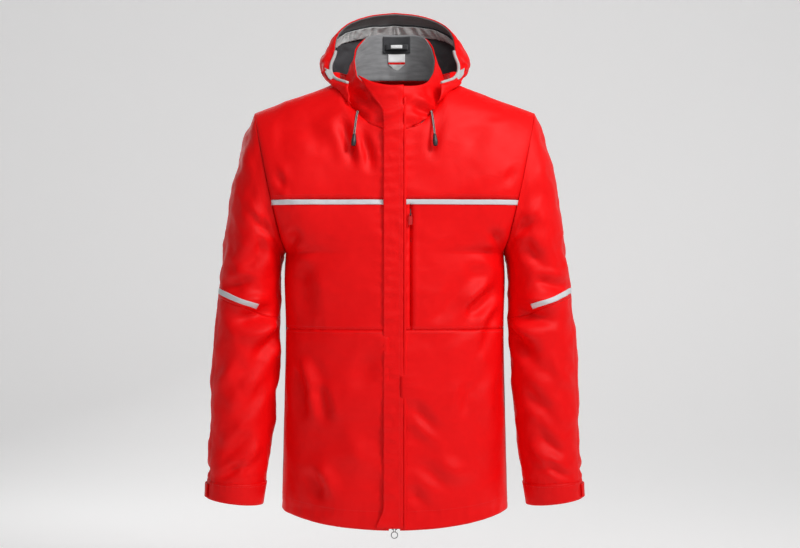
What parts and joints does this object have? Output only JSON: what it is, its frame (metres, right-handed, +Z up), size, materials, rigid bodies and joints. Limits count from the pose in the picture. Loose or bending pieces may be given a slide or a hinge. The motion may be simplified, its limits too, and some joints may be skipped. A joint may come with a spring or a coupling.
{
  "type": "foul weather jacket",
  "caption": "Hooded waterproof sailing jacket with a storm flap over a two-way zip, stand collar, chest pocket, cuff tabs, drawcords and light reflective bands.",
  "frame": {"origin": "middle of the gap in the hanging loop inside the back of the collar", "axes": "+Z up along the hanging jacket, -Y the way its front faces, +X towards the wearer's left sleeve"},
  "size_m": [0.6354, 0.2918, 0.8941],
  "materials": {
    "red_shell": "satin waterproof woven fabric",
    "lining_grey": "soft knitted lining",
    "light_lining": "light melange lining",
    "reflective_light": "light grey reflective tape",
    "dark_fabric": "dark woven trim",
    "cord_fleck": "braided elastic cord with light flecks",
    "black_plastic": "moulded",
    "zip_plastic": "moulded teeth",
    "zip_metal": "lacquered",
    "label_white": "satin label"
  },
  "bodies": {
    "root": {"front_yoke_right": "red_shell", "front_yoke_left": "red_shell", "front_chest_right": "red_shell", "front_chest_left": "red_shell", "front_placket_left": "red_shell", "front_lower_right": "red_shell", "front_lower_left": "red_shell", "back_yoke": "red_shell", "back_panel": "red_shell", "body_lining": "lining_grey", "chest_stripe_right": "reflective_light", "chest_stripe_left": "reflective_light", "collar_outer": "red_shell", "collar_lining": "lining_grey", "hood_base": "red_shell", "flap_seam_strip": "red_shell", "flap_loop_pads": "dark_fabric", "zip_tapes": "dark_fabric", "zip_teeth": "zip_plastic", "zip_stops": "zip_metal", "zip_guard": "dark_fabric", "pocket_tapes": "dark_fabric", "pocket_teeth": "zip_plastic", "pocket_bag": "lining_grey", "eyelets": "black_plastic", "cord_locks": "black_plastic", "drawcord_right": "cord_fleck", "drawcord_left": "cord_fleck", "cord_ends": "black_plastic", "hanging_loop": "dark_fabric", "neck_label": "label_white"},
    "hood": {"hood_centre_panel": "red_shell", "hood_side_right": "red_shell", "hood_side_left": "red_shell", "hood_lining": "light_lining", "hood_visor": "dark_fabric", "hood_gathered_band": "light_lining", "hood_piping": "light_lining"},
    "arm_left": {"sleeve_upper_left": "red_shell", "sleeve_band_left": "reflective_light"},
    "forearm_left": {"sleeve_lower_left": "red_shell", "sleeve_lining_left": "lining_grey", "cuff_left": "red_shell"},
    "tab_left": {"cuff_tab_left": "red_shell"},
    "button_left": {"lock_button_left": "black_plastic"},
    "arm_right": {"sleeve_upper_right": "red_shell", "sleeve_band_right": "reflective_light"},
    "forearm_right": {"sleeve_lower_right": "red_shell", "sleeve_lining_right": "lining_grey", "cuff_right": "red_shell"},
    "tab_right": {"cuff_tab_right": "red_shell"},
    "button_right": {"lock_button_right": "black_plastic"},
    "flap": {"storm_flap": "red_shell", "flap_hook_pads": "dark_fabric"},
    "zip_upper": {"upper_slider": "zip_metal", "upper_puller": "zip_metal"},
    "zip_lower": {"lower_slider": "zip_metal"},
    "ring": {"ring_puller": "zip_metal"},
    "pocket_zip": {"pocket_slider": "zip_metal"},
    "pocket_pull": {"pocket_puller": "zip_metal"}
  },
  "joints": [
    {"name": "hood_raise", "type": "hinge", "parent": "root", "child": "hood", "pos_m": [0, -0.1345, -0.11], "axis": [1, 0, 0], "range_deg": [0, 30]},
    {"name": "shoulder_left", "type": "hinge", "parent": "root", "child": "arm_left", "pos_m": [0.2369, -0.0585, -0.122], "axis": [0, -1, 0], "range_deg": [0, 60]},
    {"name": "elbow_left", "type": "hinge", "parent": "arm_left", "child": "forearm_left", "pos_m": [0.2459, -0.1355, -0.451], "axis": [-0.9413, 0, -0.3375], "range_deg": [0, 45]},
    {"name": "shoulder_right", "type": "hinge", "parent": "root", "child": "arm_right", "pos_m": [-0.2369, -0.0585, -0.122], "axis": [0, 1, 0], "range_deg": [0, 60]},
    {"name": "elbow_right", "type": "hinge", "parent": "arm_right", "child": "forearm_right", "pos_m": [-0.2459, -0.1355, -0.451], "axis": [-0.9413, 0, 0.3375], "range_deg": [0, 45]},
    {"name": "cuff_tab_left_open", "type": "hinge", "parent": "forearm_left", "child": "tab_left", "pos_m": [0.29158, -0.04816, -0.75512], "axis": [-0.0667, 0.2261, 0.9718], "range_deg": [0, 90]},
    {"name": "cuff_tab_right_open", "type": "hinge", "parent": "forearm_right", "child": "tab_right", "pos_m": [-0.29158, -0.04816, -0.75512], "axis": [-0.0667, -0.2261, -0.9718], "range_deg": [0, 90]},
    {"name": "flap_open", "type": "hinge", "parent": "root", "child": "flap", "pos_m": [0.0147, -0.17525, -0.50806], "axis": [0, 0.0375, 0.9993], "range_deg": [0, 120]},
    {"name": "upper_zip", "type": "slide", "parent": "root", "child": "zip_upper", "axis": [0, -0.0375, -0.9993], "range_m": [0, 0.4]},
    {"name": "lower_zip", "type": "slide", "parent": "root", "child": "zip_lower", "axis": [0, 0.0375, 0.9993], "range_m": [0, 0.2]},
    {"name": "ring_swing", "type": "hinge", "parent": "zip_lower", "child": "ring", "pos_m": [0, -0.18153, -0.80203], "axis": [-1, 0, 0], "range_deg": [-6, 20]},
    {"name": "pocket_zip_slide", "type": "slide", "parent": "root", "child": "pocket_zip", "axis": [0, -0.0375, -0.9993], "range_m": [0, 0.16]},
    {"name": "pocket_pull_swing", "type": "hinge", "parent": "pocket_zip", "child": "pocket_pull", "pos_m": [0.026, -0.16438, -0.29807], "axis": [-1, 0, 0], "range_deg": [0, 150]},
    {"name": "lock_button_left_press", "type": "slide", "parent": "root", "child": "button_left", "axis": [0, 0, -1], "range_m": [0, 0.0025], "stiffness_N_per_m": 300},
    {"name": "lock_button_right_press", "type": "slide", "parent": "root", "child": "button_right", "axis": [0, 0, -1], "range_m": [0, 0.0025], "stiffness_N_per_m": 300}
  ]
}
